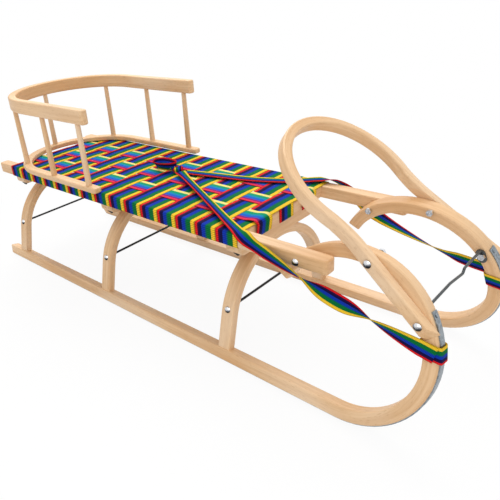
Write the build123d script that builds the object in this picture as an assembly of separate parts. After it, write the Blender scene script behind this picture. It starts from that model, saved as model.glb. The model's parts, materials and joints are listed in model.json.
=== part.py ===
from build123d import *
import math
import os

# Wooden horn sled, in millimetres: +X forward, +Y to the sled's left, +Z up.
# The origin lies on the ground under the middle of the sled.

# Overall
RUNNER_REAR = -587.5       # rear end of the runners
SHOE_FRONT = 585.0         # front of their steel shoes
SEAT_HEIGHT = 264.0        # top of the seat rails

# Runners: bent bars whose planes lean inwards by CANT
CANT = 14.0                # degrees
FOOT_HALF_WIDTH = 180.0    # outer lower edge of a runner, from the middle plane
RUNNER_WIDTH = 24.0
RUNNER_HEIGHT = 23.0
TOE_RADIUS = 137.0         # outer radius of the lower front bend
CURL_RISE = 21.6           # top of the curl above it, over the top of the seat rails
CURL_END = 150.0           # degrees of curl, counted from its foremost point
REAR_RAKE = 7.0            # the upper edge of the rear end lies further back
RUNNER_ROUND = 3.0

# Steel shoes under the runners
SHOE_WIDTH = 15.0
SHOE_THICKNESS = 2.0
SHOE_END = 35.0            # degrees of curl that the shoe covers

# Seat rails: they draw together towards the front
RAIL_SPLAY = 5.2           # a rail's rear end further out than its front end
RAIL_WIDTH = 26.0
RAIL_HEIGHT = 25.0
RAIL_SETBACK = 10.5        # rear end of the rails ahead of the runners'
RAIL_LAP = 27.0            # front end of the rails behind the curl's centre
RAIL_END_ROUND = 7.0
RAIL_ROUND = 3.0

# Trestles: bent arches that stand on the runners, with a crossbeam on the crown
TRESTLE_SETBACK = 61.5     # rear trestle ahead of the runners' rear end
TRESTLE_LAP = 229.0        # front trestle behind the curl's centre
TRESTLE_NAMES = ("rear", "middle", "front")
ARCH_WIDTH = 28.0
ARCH_THICKNESS = 18.0
ARCH_INSET = 3.0           # outer face of a leg behind the runner's outer face
ARCH_ROUND = 3.0
BEAM_DEPTH = 36.0
BEAM_HEIGHT = 29.5
CROWN_HOUSING = 5.5        # depth of the arch's crown in the crossbeam
BEAM_SETBACK = 21.0        # end of a crossbeam inside the rail's outer face
BEAM_ROUND = 9.0

# Tie rods through the legs of the trestles
TIE_HEIGHT = 105.0
TIE_RADIUS = 2.5
DOME_RADIUS = 6.5
DOME_HEIGHT = 4.0
HOLE_CLEARANCE = 0.1
FIT_GAP = 0.2

# Bolts of the rails and the horn bow, in the curl
RAIL_BOLT_DROP = 17.0      # below the top of the rails
UPPER_BOLT_TURN = 78.1     # degrees of curl, counted from its foremost point
LOWER_BOLT_TURN = 31.3
LOWER_BOLT_INSET = 3.5     # inside the curl's middle line
BOLT_RADIUS = 3.0
HEAD_CLEARANCE = 1.3
NUT_RADIUS = 6.0
NUT_HEIGHT = 5.0

# Horn bow
HORN_WIDTH = 17.0          # across the band, in the bow's plane
HORN_THICKNESS = 20.0      # across the bow's plane
HORN_BEVEL = 2.4           # depth of the flat that lies against the runner
HOOP_FLARE = 4.0           # the hoop's outer radius over the legs' half width at the upper bolts
HOOP_REACH = 121.4         # its centre above the upper bolts, along the bow's plane
WAIST_RADIUS = 157.0       # bend between each leg and the hoop
HORN_FOOT_OUTER = 10.0     # length of a leg below its lower bolt, at its outer edge
HORN_FOOT_INNER = 28.0     # and at its inner edge
HORN_ROUND = 3.0

# Front cross rod: flattened eyes on the lower bolts, one dip that holds a tow line
ROD_RADIUS = 2.2
ROD_OFFSET = (-3.3, 10.1)  # from the lower bolts: x, z
ROD_DIP = 8.0
ROD_DIP_PLACES = (31.0, 26.0, -27.0)  # start, lowest point and end of the dip, from the middle plane
ROD_BEND = 3.6
EYE_WIDTH = 15.0
EYE_THICKNESS = 3.0

# Webbing seat
BAND_PITCH = 50.0
BAND_GAP = 4.0
BAND_FRONT = 233.0
BAND_THICKNESS = 1.2
BAND_TUCK = 13.0           # end of a band under the rail
BAND_EDGE = 3.0            # start of the bend inside the rail's outer face
BAND_OVERHANG = 4.0        # rear band's edge behind the rear seat bar
STRAP_WIDTH = 45.0
STRAP_SPREAD = 0.8         # the outer straps lie further out than even gaps would put them
STRAP_DROPS = (22.4, 26.0)  # ends of a strap down the faces of the rear and front seat bars
WEB_GAP = 0.2
BAR_FRONT = 230.0
BAR_SETBACK = 64.0         # rear seat bar ahead of the rails' rear end
BAR_DEPTH = 24.0
BAR_ROUND = 2.0
BAR_DROP = 2.0             # top of a seat bar below the top of the rails

# Backrest: two bows joined by spindles
BOW_OVERHANG = 5.0         # middle line of the arms outside the rails' outer face
BOW_SETBACK = 197.0        # centre of the round back ahead of the rails' rear end
BOW_ARM = 240.0            # length of the straight arms
LOWER_BOW_WIDTH = 22.0
LOWER_BOW_HEIGHT = 12.0
UPPER_BOW_WIDTH = 18.0
UPPER_BOW_HEIGHT = 30.0
BACK_RISE = 148.0          # underside of the upper bow above the top of the rails
BOW_END_ROUND = 7.0
BOW_ROUND = 3.5
SPINDLE_SETBACKS = (31.0, 165.0)  # from the arms' front ends
SPINDLE_TURN = 63.0        # degrees from the back's middle to the outer back spindles
SPINDLE_FOOT_RADIUS = 6.7
SPINDLE_TOP_RADIUS = 5.4
TENON_RADIUS = 4.0
TENON_LENGTH = 8.0

# Pull strap
CORD_RADIUS = 3.0
KNOT = (-83.0, 26.0)
KNOT_SIZE = (28.0, 22.0, 16.0)
HAND_LOOP = (92.0, 36.0, 22.0)
HAND_TURN = 160.0
LOOP_TURN = 8.7            # degrees of curl
LOOP_WIDTH = 25.0
LOOP_THICKNESS = 1.6
LOOP_GAP = 0.4

# Worked out from the above
SIDES = (("left", 1), ("right", -1))
COS = math.cos(math.radians(CANT))
SIN = math.sin(math.radians(CANT))
TAN = math.tan(math.radians(CANT))
BASE_HEIGHT = (RUNNER_WIDTH + SHOE_WIDTH) / 2 * SIN + SHOE_THICKNESS * COS
TOE_X = SHOE_FRONT - SHOE_THICKNESS - TOE_RADIUS
CURL_RADIUS = (SEAT_HEIGHT + CURL_RISE - BASE_HEIGHT) / COS - TOE_RADIUS
CURL_X = TOE_X + TOE_RADIUS - CURL_RADIUS
CURL_MIDDLE = CURL_RADIUS - RUNNER_HEIGHT / 2
RAIL_REAR = RUNNER_REAR + RAIL_SETBACK
RAIL_FRONT = CURL_X - RAIL_LAP
RAIL_BOTTOM = SEAT_HEIGHT - RAIL_HEIGHT
TRESTLE_PITCH = (CURL_X - TRESTLE_LAP - RUNNER_REAR - TRESTLE_SETBACK) / (len(TRESTLE_NAMES) - 1)
TRESTLES = [RUNNER_REAR + TRESTLE_SETBACK + TRESTLE_PITCH * i for i in range(len(TRESTLE_NAMES))]
BEAM_BOTTOM = RAIL_BOTTOM - BEAM_HEIGHT
ARCH_CROWN = BEAM_BOTTOM + CROWN_HOUSING
BAR_REAR = RAIL_REAR + BAR_SETBACK
BAND_COUNT = math.floor((BAND_FRONT - BAR_REAR + BAND_OVERHANG) / BAND_PITCH + 0.01)
BAND_WIDTH = BAND_PITCH - BAND_GAP
BAND_TOP = SEAT_HEIGHT + WEB_GAP + BAND_THICKNESS
STRAP_OVER = BAND_TOP + WEB_GAP + BAND_THICKNESS / 2
STRAP_UNDER = SEAT_HEIGHT - BAND_THICKNESS / 2
WEB_TOP = STRAP_OVER + BAND_THICKNESS / 2
LOWER_BOW_BOTTOM = WEB_TOP + WEB_GAP
LOWER_BOW_TOP = LOWER_BOW_BOTTOM + LOWER_BOW_HEIGHT
UPPER_BOW_BOTTOM = SEAT_HEIGHT + BACK_RISE
BOW_CENTRE = RAIL_REAR + BOW_SETBACK
BOW_FRONT = BOW_CENTRE + BOW_ARM
HORN_STAND = HORN_WIDTH / COS - HORN_BEVEL   # outer face of the horn bow off the runner's

# Plane of the left runner's outer face: local X forward, local Y up the plane, Z inwards
RUNNER_PLANE = Plane(origin=(0, FOOT_HALF_WIDTH, BASE_HEIGHT), x_dir=(1, 0, 0), z_dir=(0, -COS, -SIN))
CROSS_PLANE = Plane(origin=(0, 0, 0), x_dir=(0, 1, 0), z_dir=(1, 0, 0))
LENGTH_PLANE = Plane(origin=(0, 0, 0), x_dir=(1, 0, 0), z_dir=(0, -1, 0))


def outer_face(z):
    """Distance of a runner's outer face from the middle plane at height z."""
    return FOOT_HALF_WIDTH - (z - BASE_HEIGHT) * TAN


def inner_face(z):
    return outer_face(z) - RUNNER_WIDTH / COS


def along_plane(z):
    """Height z, measured up the runner's leaning plane."""
    return (z - BASE_HEIGHT) / COS


# The rails' front ends lie against the curls' outer faces.
RAIL_HALF_FRONT = outer_face(SEAT_HEIGHT - RAIL_HEIGHT / 2) + RAIL_WIDTH
RAIL_HALF_REAR = RAIL_HALF_FRONT + RAIL_SPLAY


def rail_outer(x):
    """Distance of a rail's outer face from the middle plane."""
    return RAIL_HALF_FRONT + (RAIL_FRONT - x) / (RAIL_FRONT - RAIL_REAR) * RAIL_SPLAY


BOW_HALF_WIDTH = rail_outer(BOW_CENTRE) + BOW_OVERHANG
STRAP_PITCH = (rail_outer(BAR_FRONT) - RAIL_WIDTH + STRAP_WIDTH / 2) / 2 + STRAP_SPREAD
STRAP_PLACES = (-STRAP_PITCH, 0, STRAP_PITCH)


def on_curl(turn, inset=0):
    """Place in the curl, by its degrees and its distance inside the middle line: x, z."""
    a = math.radians(turn)
    radius = CURL_MIDDLE - inset
    return CURL_X + radius * math.cos(a), BASE_HEIGHT + (TOE_RADIUS + radius * math.sin(a)) * COS


RAIL_BOLT_TURN = 180 - math.degrees(
    math.asin((along_plane(SEAT_HEIGHT - RAIL_BOLT_DROP) - TOE_RADIUS) / CURL_MIDDLE)
)
RAIL_BOLT = on_curl(RAIL_BOLT_TURN)
UPPER_BOLT = on_curl(UPPER_BOLT_TURN)
LOWER_BOLT = on_curl(LOWER_BOLT_TURN, LOWER_BOLT_INSET)
HORN_RISE = math.hypot(LOWER_BOLT[0] - UPPER_BOLT[0], UPPER_BOLT[1] - LOWER_BOLT[1])
HOOP_CENTRE = HORN_RISE + HOOP_REACH
HOOP_RADIUS = outer_face(UPPER_BOLT[1]) + HORN_STAND + HOOP_FLARE


def to_side(piece, side):
    return piece if side > 0 else mirror(piece, about=Plane.XZ)


def across(place, radius, start=0, end=FOOT_HALF_WIDTH):
    """Rod along Y on the left side, between two distances from the middle plane."""
    x, z = place
    return Pos(x, (start + end) / 2, z) * Rot(90, 0, 0) * Cylinder(radius, end - start)


def bent_bar(outer, inner, curl_end, rake):
    """Face between two offsets from the runner's lower outline."""
    with BuildSketch() as sketch:
        with BuildLine():
            Line((RUNNER_REAR + rake, outer), (TOE_X, outer))
            CenterArc((TOE_X, TOE_RADIUS), TOE_RADIUS - outer, -90, 90)
            low = CenterArc((CURL_X, TOE_RADIUS), CURL_RADIUS - outer, 0, curl_end)
            high = CenterArc((CURL_X, TOE_RADIUS), CURL_RADIUS - inner, 0, curl_end)
            Line(low @ 1, high @ 1)
            CenterArc((TOE_X, TOE_RADIUS), TOE_RADIUS - inner, -90, 90)
            Line((TOE_X, inner), (RUNNER_REAR, inner))
            Line((RUNNER_REAR, inner), (RUNNER_REAR + rake, outer))
        make_face()
    return sketch.sketch


def plain_runner():
    return extrude(RUNNER_PLANE * bent_bar(0, RUNNER_HEIGHT, CURL_END, REAR_RAKE), RUNNER_WIDTH)


def make_runner():
    bar = plain_runner()
    bar = fillet([e for e in bar.edges() if e.length > RUNNER_HEIGHT + 5], RUNNER_ROUND)
    for place in (RAIL_BOLT, UPPER_BOLT, LOWER_BOLT):
        bar -= across(place, BOLT_RADIUS + HOLE_CLEARANCE)
    return bar


def make_shoe():
    strip = bent_bar(-SHOE_THICKNESS, 0, SHOE_END, REAR_RAKE)
    return extrude(RUNNER_PLANE.offset((RUNNER_WIDTH - SHOE_WIDTH) / 2) * strip, SHOE_WIDTH)


def make_rail():
    rear, front = RAIL_HALF_REAR, RAIL_HALF_FRONT
    plan = Polygon(
        (RAIL_REAR, rear), (RAIL_REAR, rear - RAIL_WIDTH),
        (RAIL_FRONT, front - RAIL_WIDTH), (RAIL_FRONT, front), align=None,
    )
    rail = extrude(Plane.XY.offset(RAIL_BOTTOM) * plan, RAIL_HEIGHT)
    rail = fillet(rail.edges().filter_by(Axis.Z), RAIL_END_ROUND)
    rail = fillet(rail.faces().filter_by(Axis.Z).edges(), RAIL_ROUND)
    # The front end is let over the outer face of the runner's curl.
    rail -= plain_runner()
    return rail - across(RAIL_BOLT, BOLT_RADIUS + HOLE_CLEARANCE)


def arch_profile(inset):
    """Centre height, radius and leg reach of the arch's outline at an inset from its outer face."""
    reach = FOOT_HALF_WIDTH + BASE_HEIGHT * TAN - (ARCH_INSET + inset) / COS
    crown = ARCH_CROWN - inset
    centre = (crown - reach * COS) / (1 - SIN)
    return centre, crown - centre, reach


def make_arch(x):
    foot = BASE_HEIGHT - RUNNER_WIDTH
    feet = []
    with BuildSketch() as sketch:
        with BuildLine():
            for inset in (0, ARCH_THICKNESS):
                centre, radius, reach = arch_profile(inset)
                low = (reach - foot * TAN, foot)
                high = (radius * COS, centre + radius * SIN)
                CenterArc((0, centre), radius, CANT, 180 - 2 * CANT)
                for side in (1, -1):
                    Line((side * low[0], low[1]), (side * high[0], high[1]))
                feet.append(low)
            for side in (1, -1):
                Line(*[(side * y, z) for y, z in feet])
        make_face()
    arch = extrude(CROSS_PLANE.offset(x - ARCH_WIDTH / 2) * sketch.sketch, ARCH_WIDTH)
    arch = fillet([e for e in arch.edges() if e.length > ARCH_WIDTH + 5], ARCH_ROUND)
    # Each foot ends on the runner's upper face.
    sole = Plane(origin=(x, FOOT_HALF_WIDTH, BASE_HEIGHT), x_dir=(1, 0, 0), z_dir=(0, SIN, -COS))
    under = extrude(sole.offset(-RUNNER_HEIGHT) * Rectangle(4 * ARCH_WIDTH, 6 * RUNNER_WIDTH), 4 * RUNNER_HEIGHT)
    for _, side in SIDES:
        arch -= to_side(under, side)
    return arch - Pos(x, 0, TIE_HEIGHT) * Rot(90, 0, 0) * Cylinder(TIE_RADIUS + HOLE_CLEARANCE, 3 * FOOT_HALF_WIDTH)


def make_crossbeam(x):
    length = 2 * (rail_outer(x) - BEAM_SETBACK)
    beam = Pos(x, 0, (RAIL_BOTTOM + BEAM_BOTTOM) / 2) * Box(BEAM_DEPTH, length, RAIL_BOTTOM - BEAM_BOTTOM)
    beam = fillet(beam.faces().sort_by(Axis.Z)[0].edges().filter_by(Axis.X), BEAM_ROUND)
    # The arch's crown is housed in the underside.
    centre, radius, _ = arch_profile(0)
    return beam - Pos(x, 0, centre) * Rot(0, 90, 0) * Cylinder(radius, ARCH_WIDTH + 2 * FIT_GAP)


def dome(x, y, z, tilt):
    """Domed head on the left side, its seat tilted up by an angle."""
    ball = (DOME_RADIUS**2 + DOME_HEIGHT**2) / (2 * DOME_HEIGHT)
    cap = Pos(0, 0, DOME_HEIGHT - ball) * Sphere(ball)
    cap &= Pos(0, 0, DOME_HEIGHT / 2) * Box(4 * DOME_RADIUS, 4 * DOME_RADIUS, DOME_HEIGHT)
    return Pos(x, y, z) * Rot(tilt - 90, 0, 0) * cap


def leg_face():
    """A leg's outer face at the tie rods: distance from the middle plane, and lean in degrees."""
    centre, radius, reach = arch_profile(0)
    rise = (TIE_HEIGHT - centre) / radius
    if rise < SIN:
        return reach - TIE_HEIGHT * TAN, CANT
    return radius * math.sqrt(1 - rise**2), math.degrees(math.asin(rise))


def make_tie_rod(x):
    face, lean = leg_face()
    length = 2 * (face - TIE_RADIUS * math.tan(math.radians(lean)) - FIT_GAP)
    return Pos(x, 0, TIE_HEIGHT) * Rot(90, 0, 0) * Cylinder(TIE_RADIUS, length)


def make_trestle_domes():
    face, lean = leg_face()
    domes = [dome(x, face, TIE_HEIGHT, lean) for x in TRESTLES]
    return Compound(children=[to_side(d, side) for d in domes for _, side in SIDES])


def horn_plane():
    """Plane of the horn bow: local X to the left, local Y up and back, origin at the lower bolts."""
    (low_x, low_z), (high_x, high_z) = LOWER_BOLT, UPPER_BOLT
    up = Vector(high_x - low_x, 0, high_z - low_z).normalized()
    return Plane(origin=(low_x, 0, low_z), x_dir=(0, 1, 0), z_dir=Vector(0, 1, 0).cross(up))


def horn_outline(inset, foot):
    """Half outline of the bow at an inset from its outer edge: leg, waist arc and hoop."""
    low = Vector(outer_face(LOWER_BOLT[1]) + HORN_STAND - inset, 0)
    high = Vector(outer_face(UPPER_BOLT[1]) + HORN_STAND - inset, HORN_RISE)
    run = (high - low).normalized()
    out = Vector(run.Y, -run.X)
    hoop = HOOP_RADIUS - inset
    waist = WAIST_RADIUS + inset
    top = Vector(0, HOOP_CENTRE)
    # The waist arc touches the leg's line and the hoop from outside.
    offset = low + out * waist - top
    b = offset.dot(run)
    c = offset.dot(offset) - (hoop + waist) ** 2
    reach = -b - math.sqrt(b * b - c)
    middle = low + run * reach + out * waist
    leave = low + run * reach
    join = top + (middle - top).normalized() * hoop
    halfway = middle + ((leave + join) * 0.5 - middle).normalized() * waist
    return [low - run * foot, leave, halfway, join], hoop


def make_horn_bow():
    tips = []
    with BuildSketch() as sketch:
        with BuildLine():
            for inset, foot in ((0, HORN_FOOT_OUTER), (HORN_WIDTH, HORN_FOOT_INNER)):
                points, hoop = horn_outline(inset, foot)
                turn = math.degrees(math.atan2(points[3].Y - HOOP_CENTRE, points[3].X))
                CenterArc((0, HOOP_CENTRE), hoop, turn, 180 - 2 * turn)
                for side in (1, -1):
                    tip, leave, halfway, join = [(side * p.X, p.Y) for p in points]
                    Line(tip, leave)
                    ThreePointArc(leave, halfway, join)
                tips.append(points[0])
            for side in (1, -1):
                Line(*[(side * p.X, p.Y) for p in tips])
        make_face()
    bow = extrude(horn_plane().offset(-HORN_THICKNESS / 2) * sketch.sketch, HORN_THICKNESS)
    bow = fillet([e for e in bow.edges() if e.length > HORN_WIDTH + 12], HORN_ROUND)
    # Each leg is bevelled flat where it lies against its runner.
    patch = Pos(LOWER_BOLT[0], along_plane(LOWER_BOLT[1])) * Rectangle(2 * CURL_RADIUS, 2 * CURL_RADIUS)
    bevel = extrude(RUNNER_PLANE * patch, 2 * RUNNER_WIDTH)
    for _, side in SIDES:
        bow -= to_side(bevel, side)
        for place in (UPPER_BOLT, LOWER_BOLT):
            bow -= to_side(across(place, BOLT_RADIUS + HOLE_CLEARANCE), side)
    return bow


def make_bolts():
    """Carriage bolts on both sides: domed heads outside, nuts on the runners' inner faces."""
    seats = (
        # place, distance of the head's seat, thickness under the nut
        (RAIL_BOLT, rail_outer(RAIL_BOLT[0]) + FIT_GAP, 0),
        (UPPER_BOLT, outer_face(UPPER_BOLT[1]) + HORN_STAND + HEAD_CLEARANCE, 0),
        (LOWER_BOLT, outer_face(LOWER_BOLT[1]) + HORN_STAND + HEAD_CLEARANCE, EYE_THICKNESS / COS),
    )
    pieces = []
    for place, seat, under in seats:
        end = inner_face(place[1]) - under - NUT_RADIUS * TAN - FIT_GAP
        bolt = across(place, BOLT_RADIUS, end - NUT_HEIGHT, seat + 1)
        nut = extrude(RegularPolygon(NUT_RADIUS, 6), NUT_HEIGHT)
        bolt += Pos(place[0], end, place[1]) * Rot(90, 0, 0) * nut
        bolt += dome(place[0], seat, place[1], 0)
        for _, side in SIDES:
            pieces.append(to_side(bolt, side))
    return Compound(children=pieces)


def make_cross_rod():
    x = LOWER_BOLT[0] + ROD_OFFSET[0]
    z = LOWER_BOLT[1] + ROD_OFFSET[1]
    eye = inner_face(z) - EYE_THICKNESS / COS
    start, low, end = ROD_DIP_PLACES
    reach = eye + EYE_THICKNESS / 2
    line = [(reach, z), (start, z), (low, z - ROD_DIP), (end, z), (-reach, z)]
    path = FilletPolyline(*[(x, y, h) for y, h in line], radius=ROD_BEND)
    rod = sweep(Plane(origin=path @ 0, z_dir=path % 0) * Circle(ROD_RADIUS), path)
    low_eye = Vector(LOWER_BOLT[0], along_plane(LOWER_BOLT[1]))
    high_eye = Vector(x, along_plane(z))
    span = high_eye - low_eye
    slot = SlotCenterToCenter(span.length, EYE_WIDTH)
    turn = math.degrees(math.atan2(span.Y, span.X))
    middle = (low_eye + high_eye) * 0.5
    plate = Pos(middle.X, middle.Y) * Rot(0, 0, turn) * slot
    tab = extrude(RUNNER_PLANE.offset(RUNNER_WIDTH) * plate, EYE_THICKNESS)
    tab -= across(LOWER_BOLT, BOLT_RADIUS + HOLE_CLEARANCE)
    for _, side in SIDES:
        rod += to_side(tab, side)
    return rod


def make_seat_bar(rear):
    """Bar between the rails, its ends cut to their inner faces."""
    front = rear + BAR_DEPTH
    near, far = rail_outer(rear) - RAIL_WIDTH, rail_outer(front) - RAIL_WIDTH
    plan = Polygon((rear, near), (rear, -near), (front, -far), (front, far), align=None)
    bar = extrude(Plane.XY.offset(RAIL_BOTTOM) * plan, RAIL_HEIGHT - BAR_DROP)
    long_edges = [e for e in bar.edges() if e.length > 3 * BAR_DEPTH]
    return fillet(long_edges, BAR_ROUND)


def band_rear(i):
    """Rear edge of cross band i, counted from the rear."""
    return BAND_FRONT - BAND_PITCH * (BAND_COUNT - i) + BAND_GAP / 2


def make_band(i):
    """Flat top of a cross band, between the outer edges of the rails."""
    half = rail_outer(band_rear(i)) - BAND_EDGE
    middle = Pos(band_rear(i) + BAND_WIDTH / 2, 0, BAND_TOP - BAND_THICKNESS / 2)
    return middle * Box(BAND_WIDTH, 2 * half, BAND_THICKNESS)


def make_wrap(i):
    """End of a cross band down the left rail's outer face and tucked under it."""
    rear = band_rear(i)
    half = rail_outer(rear) + WEB_GAP
    tall = RAIL_HEIGHT + 2 * WEB_GAP
    start = rail_outer(rear) - BAND_EDGE + WEB_GAP / 2
    with BuildSketch() as sketch:
        with Locations((0, (SEAT_HEIGHT + RAIL_BOTTOM) / 2)):
            RectangleRounded(2 * (half + BAND_THICKNESS), tall + 2 * BAND_THICKNESS, RAIL_ROUND)
            RectangleRounded(2 * half, tall, RAIL_ROUND - BAND_THICKNESS, mode=Mode.SUBTRACT)
        with Locations((0, SEAT_HEIGHT)):
            Rectangle(2 * start, RAIL_HEIGHT, mode=Mode.SUBTRACT)
        with Locations((0, RAIL_BOTTOM)):
            Rectangle(2 * (half - BAND_TUCK), RAIL_HEIGHT, mode=Mode.SUBTRACT)
        with Locations((-half, SEAT_HEIGHT)):
            Rectangle(2 * half, 4 * RAIL_HEIGHT, mode=Mode.SUBTRACT)
    return extrude(CROSS_PLANE.offset(rear) * sketch.sketch, BAND_WIDTH)


def make_strap(place, first_over):
    """Lengthwise strap, over one cross band and under the next, down over both seat bars."""
    levels = [STRAP_OVER if (i % 2 == 0) == first_over else STRAP_UNDER for i in range(BAND_COUNT)]
    clear = WEB_GAP + BAND_THICKNESS / 2
    rear_low, front_low = [SEAT_HEIGHT - drop for drop in STRAP_DROPS]
    if first_over:
        ends = (band_rear(0) - clear, band_rear(BAND_COUNT - 1) + BAND_WIDTH + clear)
    else:
        ends = (BAR_REAR - clear, BAR_FRONT + clear)
    line = [(ends[0], rear_low), (ends[0], levels[0])]
    for i in range(1, BAND_COUNT):
        x = band_rear(i) - BAND_GAP / 2
        line += [(x, levels[i - 1]), (x, levels[i])]
    line += [(ends[1], levels[-1]), (ends[1], front_low)]
    half = BAND_THICKNESS / 2
    with BuildSketch() as sketch:
        for a, b in zip(line, line[1:]):
            with Locations(((a[0] + b[0]) / 2, (a[1] + b[1]) / 2)):
                Rectangle(abs(b[0] - a[0]) + 2 * half, abs(b[1] - a[1]) + 2 * half)
    return extrude(LENGTH_PLANE.offset(-place - STRAP_WIDTH / 2) * sketch.sketch, STRAP_WIDTH)


def bow_places():
    """Spindle places in plan: x, y."""
    places = [(BOW_FRONT - setback, side * BOW_HALF_WIDTH) for setback in SPINDLE_SETBACKS for _, side in SIDES]
    for turn in (SPINDLE_TURN, 0, -SPINDLE_TURN):
        a = math.radians(turn)
        places.append((BOW_CENTRE - BOW_HALF_WIDTH * math.cos(a), BOW_HALF_WIDTH * math.sin(a)))
    return places


def make_bow(width, bottom, height, joint):
    """Bent bow of the backrest, mortised for the spindles at the height of its joint."""
    arm = BOW_FRONT - BOW_CENTRE
    with BuildSketch() as sketch:
        with Locations((BOW_CENTRE, 0)):
            Circle(BOW_HALF_WIDTH + width / 2)
            Circle(BOW_HALF_WIDTH - width / 2, mode=Mode.SUBTRACT)
        with Locations((BOW_CENTRE + arm / 2, 0)):
            Rectangle(arm, 3 * BOW_HALF_WIDTH, mode=Mode.SUBTRACT)
        for _, side in SIDES:
            with Locations((BOW_CENTRE + arm / 2, side * BOW_HALF_WIDTH)):
                Rectangle(arm, width)
    bow = extrude(Plane.XY.offset(bottom) * sketch.sketch, height)
    bow = fillet(bow.edges().filter_by(Axis.Z).sort_by(Axis.X)[-4:], BOW_END_ROUND)
    bow = fillet(bow.faces().filter_by(Axis.Z).edges(), BOW_ROUND)
    for x, y in bow_places():
        bow -= Pos(x, y, joint) * Cylinder(TENON_RADIUS + HOLE_CLEARANCE, 2 * TENON_LENGTH + FIT_GAP)
    return bow


def make_spindle(x, y):
    height = UPPER_BOW_BOTTOM - LOWER_BOW_TOP
    middle = Pos(x, y, LOWER_BOW_TOP + height / 2)
    spindle = middle * Cone(SPINDLE_FOOT_RADIUS, SPINDLE_TOP_RADIUS, height)
    return spindle + middle * Cylinder(TENON_RADIUS, height + 2 * TENON_LENGTH)


def make_strap_loop():
    """Band of the pull strap round the front of a runner and its shoe."""
    bar = RUNNER_HEIGHT + SHOE_THICKNESS
    turn = math.radians(LOOP_TURN)
    middle = CURL_RADIUS + SHOE_THICKNESS - bar / 2
    sag = CURL_RADIUS - math.sqrt(CURL_RADIUS**2 - (LOOP_WIDTH / 2) ** 2)
    depth = bar + 2 * sag + 2 * LOOP_GAP
    width = RUNNER_WIDTH + 2 * LOOP_GAP
    ring = Box(depth + 2 * LOOP_THICKNESS, LOOP_WIDTH, width + 2 * LOOP_THICKNESS)
    ring -= Box(depth, LOOP_WIDTH * 2, width)
    place = Pos(CURL_X + middle * math.cos(turn), TOE_RADIUS + middle * math.sin(turn))
    return RUNNER_PLANE.offset(RUNNER_WIDTH / 2) * place * Rot(0, 0, LOOP_TURN) * ring


# Pull strap: from the loop on each runner up to the rail, over its edge and across the seat
LIE = WEB_TOP + CORD_RADIUS + 0.4
STRAP_RIGHT = [
    (552.0, -146.5, 166.0),
    (480.0, -151.0, 191.0),
    (366.0, -154.5, 229.0),
    (268.0, -154.0, 262.0),
    (238.0, -147.0, LIE + 1.0),
    (190.0, -121.0, LIE),
    (80.0, -60.0, LIE),
    (-22.0, -6.0, LIE),
    (-66.0, 17.5, LIE),
]
STRAP_LEFT = [
    (552.0, 146.5, 166.0),
    (490.0, 151.0, 191.0),
    (390.0, 154.5, 231.0),
    (312.0, 154.0, 262.0),
    (280.0, 145.0, LIE + 1.0),
    (228.0, 119.0, LIE),
    (110.0, 76.0, LIE),
    (-6.0, 46.0, LIE),
    (-64.0, 31.5, LIE),
]


def make_cord(points):
    """Round core of the pull strap, with tangent arcs as large as its runs allow."""
    radii = []
    for a, b, c in zip(points, points[1:], points[2:]):
        before, after = Vector(b) - Vector(a), Vector(c) - Vector(b)
        turn = math.radians(before.get_angle(after))
        radii.append(0.45 * min(before.length, after.length) / math.tan(turn / 2))
    path = FilletPolyline(*points, radius=radii)
    return sweep(Plane(origin=path @ 0, z_dir=path % 0) * Circle(CORD_RADIUS), path)


def make_knot():
    """Knot of the pull strap with its hand loop, on the seat."""
    length, width, height = HAND_LOOP
    rest = WEB_TOP + WEB_GAP
    lump = Box(*KNOT_SIZE)
    lump = Pos(0, 0, KNOT_SIZE[2] / 2) * fillet(lump.edges(), 5.0)
    ring = SlotOverall(length, width) - SlotOverall(length - 2 * LOOP_THICKNESS, width - 2 * LOOP_THICKNESS)
    hand = Pos(length / 2 + 6, 0, 0) * extrude(ring, height)
    return Pos(KNOT[0], KNOT[1], rest) * Rot(0, 0, HAND_TURN) * (lump + hand)


def build():
    parts = {}
    for name, side in SIDES:
        parts["runner_" + name] = to_side(make_runner(), side)
        parts["runner_shoe_" + name] = to_side(make_shoe(), side)
        parts["seat_rail_" + name] = to_side(make_rail(), side)
        parts["strap_loop_" + name] = to_side(make_strap_loop(), side)
    for name, x in zip(TRESTLE_NAMES, TRESTLES):
        parts["trestle_" + name] = make_arch(x)
        parts["crossbeam_" + name] = make_crossbeam(x)
        parts["tie_rod_" + name] = make_tie_rod(x)
    parts["trestle_domes"] = make_trestle_domes()
    parts["seat_bar_front"] = make_seat_bar(BAR_FRONT - BAR_DEPTH)
    parts["seat_bar_rear"] = make_seat_bar(BAR_REAR)
    parts["horn_bow"] = make_horn_bow()
    parts["carriage_bolts"] = make_bolts()
    parts["front_cross_rod"] = make_cross_rod()
    parts["webbing_cross_bands"] = Compound(children=[make_band(i) for i in range(BAND_COUNT)])
    wraps = [make_wrap(i) for i in range(BAND_COUNT)]
    parts["webbing_wraps"] = Compound(children=[to_side(w, side) for w in wraps for _, side in SIDES])
    for name, place, over in zip(("right", "middle", "left"), STRAP_PLACES, (True, False, True)):
        parts["webbing_strap_" + name] = make_strap(place, over)
    parts["backrest_lower_bow"] = make_bow(LOWER_BOW_WIDTH, LOWER_BOW_BOTTOM, LOWER_BOW_HEIGHT, LOWER_BOW_TOP)
    parts["backrest_upper_bow"] = make_bow(UPPER_BOW_WIDTH, UPPER_BOW_BOTTOM, UPPER_BOW_HEIGHT, UPPER_BOW_BOTTOM)
    parts["backrest_spindles"] = Compound(children=[make_spindle(x, y) for x, y in bow_places()])
    parts["pull_strap_right"] = make_cord(STRAP_RIGHT)
    parts["pull_strap_left"] = make_cord(STRAP_LEFT)
    parts["pull_strap_knot"] = make_knot()
    return parts


if __name__ == "__main__":
    os.makedirs("parts", exist_ok=True)
    for node, solid in build().items():
        export_step(solid, "parts/" + node + ".step")
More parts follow.
